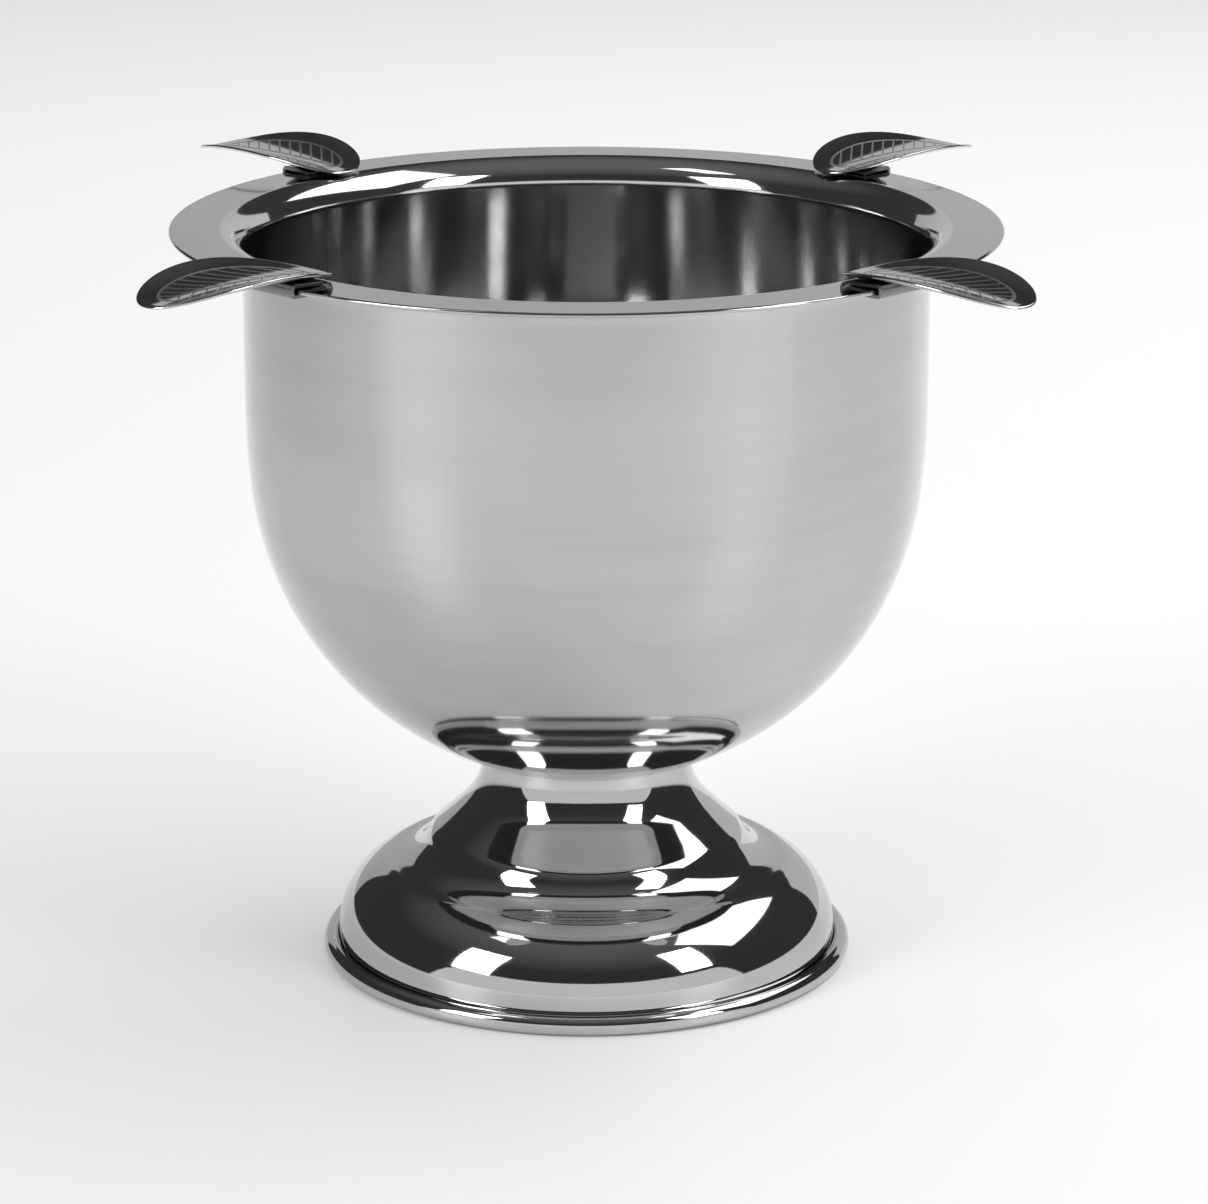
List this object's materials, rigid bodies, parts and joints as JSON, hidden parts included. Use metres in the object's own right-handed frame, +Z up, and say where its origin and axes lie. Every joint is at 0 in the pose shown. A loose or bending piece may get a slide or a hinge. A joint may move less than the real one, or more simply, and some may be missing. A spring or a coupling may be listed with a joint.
{
  "type": "footed ashtray bowl",
  "caption": "Polished stainless pedestal ashtray: deep round bowl, flat rim, stepped round foot and clip-on leaf-shaped cigar rests.",
  "frame": {"origin": "on the table, at the centre of the round foot", "axes": "+Z up along the bowl's axis; -Y is the front; the rests point along the diagonals of X and Y"},
  "size_m": [0.204, 0.204, 0.1929],
  "materials": {
    "bowl_steel": "polished stainless steel with fine lines around the bowl",
    "pedestal_steel": "mirror-polished stainless steel",
    "rest_steel": "polished stainless steel, etched with a plain leaf-vein ornament",
    "clip_steel": "satin spring steel",
    "fastener_steel": "plain zinc-plated steel"
  },
  "bodies": {
    "stand": {"bowl": "bowl_steel", "pedestal_trumpet": "pedestal_steel", "foot_dome": "pedestal_steel", "top_plate": "fastener_steel", "weld_boss": "fastener_steel", "centre_stud": "fastener_steel", "clamp_washer": "fastener_steel", "lock_washer": "fastener_steel", "hex_nut": "fastener_steel"},
    "rest_front_left": {"rest_saddle_front_left": "rest_steel", "rest_clip_front_left": "clip_steel"},
    "rest_front_right": {"rest_saddle_front_right": "rest_steel", "rest_clip_front_right": "clip_steel"},
    "rest_back_right": {"rest_saddle_back_right": "rest_steel", "rest_clip_back_right": "clip_steel"},
    "rest_back_left": {"rest_saddle_back_left": "rest_steel", "rest_clip_back_left": "clip_steel"}
  },
  "joints": [
    {"name": "pull_front_left", "type": "slide", "parent": "stand", "child": "rest_front_left", "axis": [-0.7071, -0.7071, 0], "range_m": [0, 0.02]},
    {"name": "pull_front_right", "type": "slide", "parent": "stand", "child": "rest_front_right", "axis": [0.7071, -0.7071, 0], "range_m": [0, 0.02]},
    {"name": "pull_back_right", "type": "slide", "parent": "stand", "child": "rest_back_right", "axis": [0.7071, 0.7071, 0], "range_m": [0, 0.02]},
    {"name": "pull_back_left", "type": "slide", "parent": "stand", "child": "rest_back_left", "axis": [-0.7071, 0.7071, 0], "range_m": [0, 0.02]}
  ]
}
